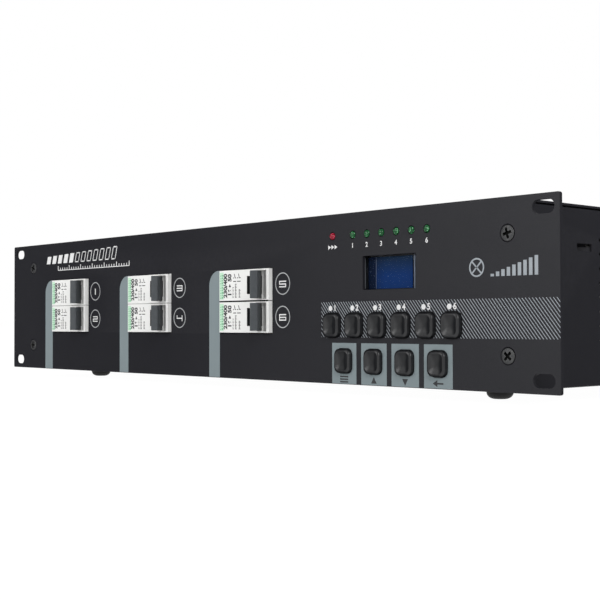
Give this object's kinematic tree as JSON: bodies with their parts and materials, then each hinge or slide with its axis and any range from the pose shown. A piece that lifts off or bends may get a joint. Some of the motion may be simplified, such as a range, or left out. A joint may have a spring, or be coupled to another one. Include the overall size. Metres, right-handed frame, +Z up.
{
  "type": "dimmer pack",
  "caption": "Rack-mounted lighting dimmer: slotted steel panel with paired circuit breakers, push buttons, display and lights, vented case on rubber feet, sockets and fan behind.",
  "frame": {"origin": "middle of the bounding box's base, in the plane of the undersides of the feet", "axes": "+Z up, the front panel faces -Y, +X is to the right seen from the front"},
  "size_m": [0.4826, 0.3302, 0.0939],
  "materials": {
    "case_paint": "fine-textured satin powder coat",
    "foot_rubber": "matt",
    "breaker_housing": "satin moulded",
    "breaker_toggle": "satin moulded",
    "plated_steel": "zinc plated",
    "button_cap": "satin gloss",
    "display_face": "polished",
    "display_window": "clear",
    "circuit_board": "solder mask",
    "led_red": "translucent",
    "led_green": "translucent",
    "choke_winding": "enamelled wire",
    "sink_aluminium": "extruded",
    "transformer_core": "varnished",
    "terminal_plastic": "moulded",
    "fitting_black": "moulded"
  },
  "bodies": {
    "root": {"front_panel": "case_paint", "chassis_tray": "case_paint", "top_cover": "case_paint", "rear_panel": "case_paint", "foot_front_left": "foot_rubber", "foot_front_right": "foot_rubber", "foot_rear_left": "foot_rubber", "foot_rear_right": "foot_rubber", "breaker_body_1": "breaker_housing", "breaker_body_2": "breaker_housing", "breaker_rail_1": "plated_steel", "breaker_body_3": "breaker_housing", "breaker_body_4": "breaker_housing", "breaker_rail_2": "plated_steel", "breaker_body_5": "breaker_housing", "breaker_body_6": "breaker_housing", "breaker_rail_3": "plated_steel", "display_module": "display_face", "display_lens": "display_window", "control_board": "circuit_board", "signal_led": "led_red", "channel_leds": "led_green", "power_board": "circuit_board", "choke_1": "choke_winding", "choke_2": "choke_winding", "choke_3": "choke_winding", "choke_4": "choke_winding", "choke_5": "choke_winding", "choke_6": "choke_winding", "heat_sink": "sink_aluminium", "transformer": "transformer_core", "terminal_block": "terminal_plastic", "outlet_1": "fitting_black", "outlet_2": "fitting_black", "outlet_3": "fitting_black", "outlet_4": "fitting_black", "outlet_5": "fitting_black", "outlet_6": "fitting_black", "signal_inlet": "fitting_black", "signal_outlet": "fitting_black", "cable_gland": "fitting_black", "fan_frame": "fitting_black", "fan_guard": "plated_steel"},
    "lever_1": {"breaker_lever_1": "breaker_toggle"},
    "lever_2": {"breaker_lever_2": "breaker_toggle"},
    "lever_3": {"breaker_lever_3": "breaker_toggle"},
    "lever_4": {"breaker_lever_4": "breaker_toggle"},
    "lever_5": {"breaker_lever_5": "breaker_toggle"},
    "lever_6": {"breaker_lever_6": "breaker_toggle"},
    "button_channel_1_cap": {"button_channel_1": "button_cap"},
    "button_channel_2_cap": {"button_channel_2": "button_cap"},
    "button_channel_3_cap": {"button_channel_3": "button_cap"},
    "button_channel_4_cap": {"button_channel_4": "button_cap"},
    "button_channel_5_cap": {"button_channel_5": "button_cap"},
    "button_channel_6_cap": {"button_channel_6": "button_cap"},
    "button_menu_cap": {"button_menu": "button_cap"},
    "button_up_cap": {"button_up": "button_cap"},
    "button_down_cap": {"button_down": "button_cap"},
    "button_back_cap": {"button_back": "button_cap"},
    "fan_impeller": {"fan_rotor": "fitting_black"}
  },
  "joints": [
    {"name": "lever_1_swing", "type": "hinge", "parent": "root", "child": "lever_1", "pos_m": [-0.1516, -0.15424, 0.0588], "axis": [0, 0, -1], "range_deg": [0, 62]},
    {"name": "lever_2_swing", "type": "hinge", "parent": "root", "child": "lever_2", "pos_m": [-0.1516, -0.15424, 0.0408], "axis": [0, 0, -1], "range_deg": [0, 62]},
    {"name": "lever_3_swing", "type": "hinge", "parent": "root", "child": "lever_3", "pos_m": [-0.0566, -0.15424, 0.0588], "axis": [0, 0, -1], "range_deg": [0, 62]},
    {"name": "lever_4_swing", "type": "hinge", "parent": "root", "child": "lever_4", "pos_m": [-0.0566, -0.15424, 0.0408], "axis": [0, 0, -1], "range_deg": [0, 62]},
    {"name": "lever_5_swing", "type": "hinge", "parent": "root", "child": "lever_5", "pos_m": [0.0384, -0.15424, 0.0588], "axis": [0, 0, -1], "range_deg": [0, 62]},
    {"name": "lever_6_swing", "type": "hinge", "parent": "root", "child": "lever_6", "pos_m": [0.0384, -0.15424, 0.0408], "axis": [0, 0, -1], "range_deg": [0, 62]},
    {"name": "button_channel_1_press", "type": "slide", "parent": "root", "child": "button_channel_1_cap", "axis": [0, 1, 0], "range_m": [0, 0.001], "stiffness_N_per_m": 400, "springref_m": -0.002},
    {"name": "button_channel_2_press", "type": "slide", "parent": "root", "child": "button_channel_2_cap", "axis": [0, 1, 0], "range_m": [0, 0.001], "stiffness_N_per_m": 400, "springref_m": -0.002},
    {"name": "button_channel_3_press", "type": "slide", "parent": "root", "child": "button_channel_3_cap", "axis": [0, 1, 0], "range_m": [0, 0.001], "stiffness_N_per_m": 400, "springref_m": -0.002},
    {"name": "button_channel_4_press", "type": "slide", "parent": "root", "child": "button_channel_4_cap", "axis": [0, 1, 0], "range_m": [0, 0.001], "stiffness_N_per_m": 400, "springref_m": -0.002},
    {"name": "button_channel_5_press", "type": "slide", "parent": "root", "child": "button_channel_5_cap", "axis": [0, 1, 0], "range_m": [0, 0.001], "stiffness_N_per_m": 400, "springref_m": -0.002},
    {"name": "button_channel_6_press", "type": "slide", "parent": "root", "child": "button_channel_6_cap", "axis": [0, 1, 0], "range_m": [0, 0.001], "stiffness_N_per_m": 400, "springref_m": -0.002},
    {"name": "button_menu_press", "type": "slide", "parent": "root", "child": "button_menu_cap", "axis": [0, 1, 0], "range_m": [0, 0.001], "stiffness_N_per_m": 400, "springref_m": -0.002},
    {"name": "button_up_press", "type": "slide", "parent": "root", "child": "button_up_cap", "axis": [0, 1, 0], "range_m": [0, 0.001], "stiffness_N_per_m": 400, "springref_m": -0.002},
    {"name": "button_down_press", "type": "slide", "parent": "root", "child": "button_down_cap", "axis": [0, 1, 0], "range_m": [0, 0.001], "stiffness_N_per_m": 400, "springref_m": -0.002},
    {"name": "button_back_press", "type": "slide", "parent": "root", "child": "button_back_cap", "axis": [0, 1, 0], "range_m": [0, 0.001], "stiffness_N_per_m": 400, "springref_m": -0.002},
    {"name": "fan_spin", "type": "hinge", "parent": "root", "child": "fan_impeller", "pos_m": [0.11, 0.13116, 0.0498], "axis": [0, 1, 0], "continuous": true}
  ]
}
